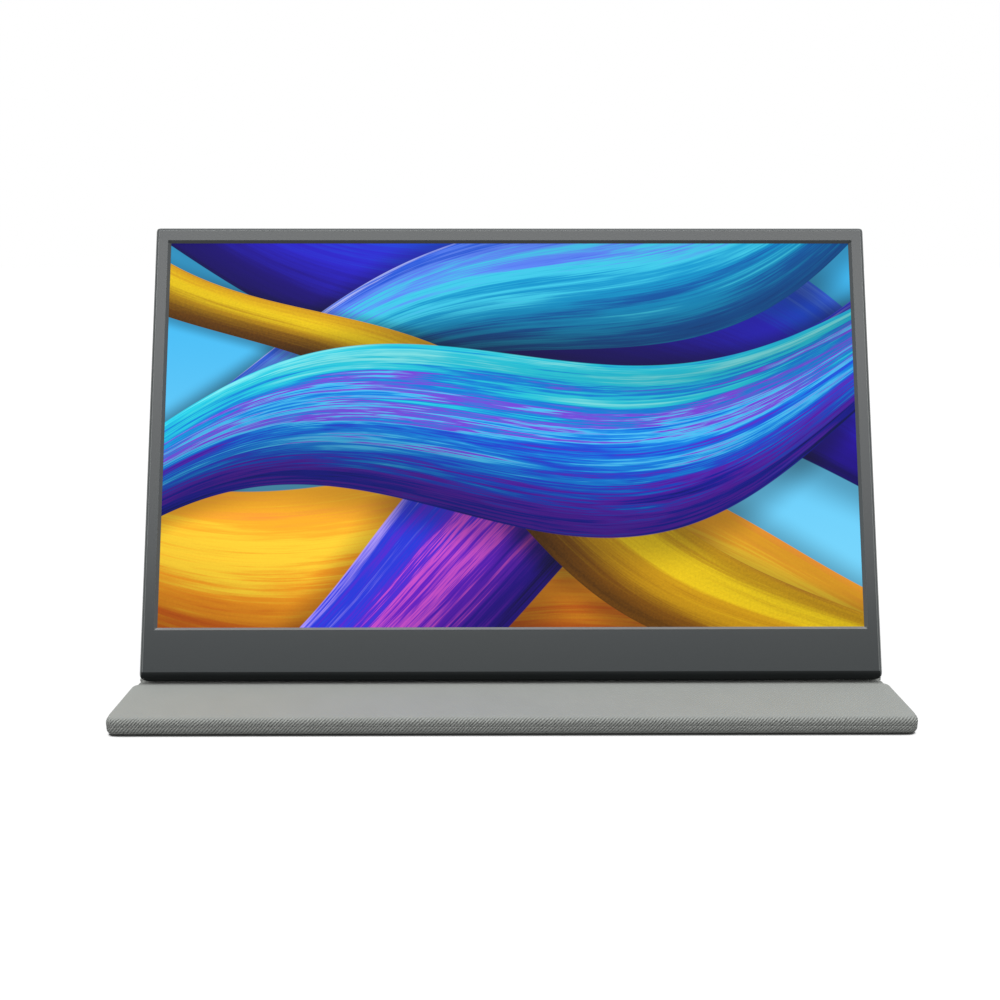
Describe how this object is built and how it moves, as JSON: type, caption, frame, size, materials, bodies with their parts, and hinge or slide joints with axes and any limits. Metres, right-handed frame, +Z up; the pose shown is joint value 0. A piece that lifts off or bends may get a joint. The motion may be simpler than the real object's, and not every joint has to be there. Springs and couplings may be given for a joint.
{
  "type": "portable monitor with cover",
  "caption": "Slim portable monitor standing on its folding twill cover, which props it from behind and lies as a flap in front.",
  "frame": {"origin": "on the table, at the middle of the width and depth of the standing object", "axes": "+X along the width, to the right as seen from the front; the screen faces -Y and leans back; +Z up"},
  "size_m": [0.3672, 0.136, 0.2241],
  "materials": {
    "bezel": "satin dark grey, anodised",
    "shell": "matt near-black",
    "screen": "lit display behind a matt coating",
    "gasket": "black foam",
    "clear_plastic": "clear or frosted acrylic",
    "white_film": "white",
    "bright_metal": "plain metal",
    "key": "satin dark grey",
    "circuit_board": "green solder mask",
    "flex": "amber film",
    "black_plastic": "black",
    "magnet": "nickel plated",
    "twill": "grey twill with fine diagonal wales",
    "board": "grey board",
    "lining": "dark microfibre"
  },
  "bodies": {
    "base": {"spine_skin": "twill", "spine_board": "board", "spine_lining": "lining", "spine_web": "twill", "base_lower_skin": "twill", "base_lower_board": "board", "base_lower_lining": "lining", "base_upper_skin": "twill", "base_upper_front_board": "board", "base_upper_rear_board": "board", "base_upper_front_lining": "lining", "base_upper_rear_lining": "lining", "base_magnets": "magnet", "front_fold": "twill"},
    "strut": {"strut_skin": "twill", "strut_board": "board", "strut_lining": "lining", "rear_hinge_web": "twill"},
    "back_panel": {"back_panel_skin": "twill", "back_panel_board": "board", "back_panel_lining": "lining", "back_panel_magnets": "magnet", "back_fold_web": "twill"},
    "monitor": {"front_bezel": "bezel", "panel_gasket": "gasket", "lcd_panel": "screen", "optical_films": "clear_plastic", "light_guide_plate": "clear_plastic", "reflector_sheet": "white_film", "led_strip": "white_film", "backlight_tray": "bright_metal", "panel_driver_board": "circuit_board", "panel_flex": "flex", "display_cable": "flex", "main_board": "circuit_board", "scaler_chip": "black_plastic", "power_parts": "black_plastic", "board_shield": "bright_metal", "usb_c_port_display": "bright_metal", "usb_c_port_power": "bright_metal", "mini_hdmi_port": "bright_metal", "headphone_jack": "black_plastic", "button_board": "circuit_board", "power_switch": "black_plastic", "menu_switches": "black_plastic", "button_cable": "flex", "speaker_left": "gasket", "speaker_right": "gasket", "speaker_leads": "flex", "status_led": "clear_plastic", "shell_magnets": "magnet", "board_screws": "bright_metal", "shell_screws": "bright_metal", "rear_shell": "shell"},
    "power_button": {"power_button": "key"},
    "menu_rocker": {"menu_rocker": "key"}
  },
  "joints": [
    {"name": "strut_tilt", "type": "hinge", "parent": "base", "child": "strut", "pos_m": [0, 0.06578, 0.0022], "axis": [1, 0, 0], "range_deg": [-10, 8], "deforming": ["rear_hinge_web"]},
    {"name": "back_fold", "type": "hinge", "parent": "strut", "child": "back_panel", "pos_m": [0, 0.01818, 0.1173], "axis": [1, 0, 0], "range_deg": [-17.5, 21.5], "deforming": ["back_fold_web"]},
    {"name": "monitor_lift_off", "type": "slide", "parent": "back_panel", "child": "monitor", "axis": [0, -0.9397, 0.342], "range_m": [0, 0.12]},
    {"name": "power_press", "type": "slide", "parent": "monitor", "child": "power_button", "axis": [1, 0, 0], "range_m": [0, 0.00035], "stiffness_N_per_m": 800, "springref_m": -0.0005},
    {"name": "menu_rock", "type": "hinge", "parent": "monitor", "child": "menu_rocker", "pos_m": [-0.17735, -0.01535, 0.04565], "axis": [0, -0.9397, 0.342], "range_deg": [-2.5, 2.5], "stiffness_Nm_per_rad": 0.05}
  ],
  "couplings": [
    {"joint": "back_fold", "follows": "strut_tilt", "ratio": -2.054}
  ]
}
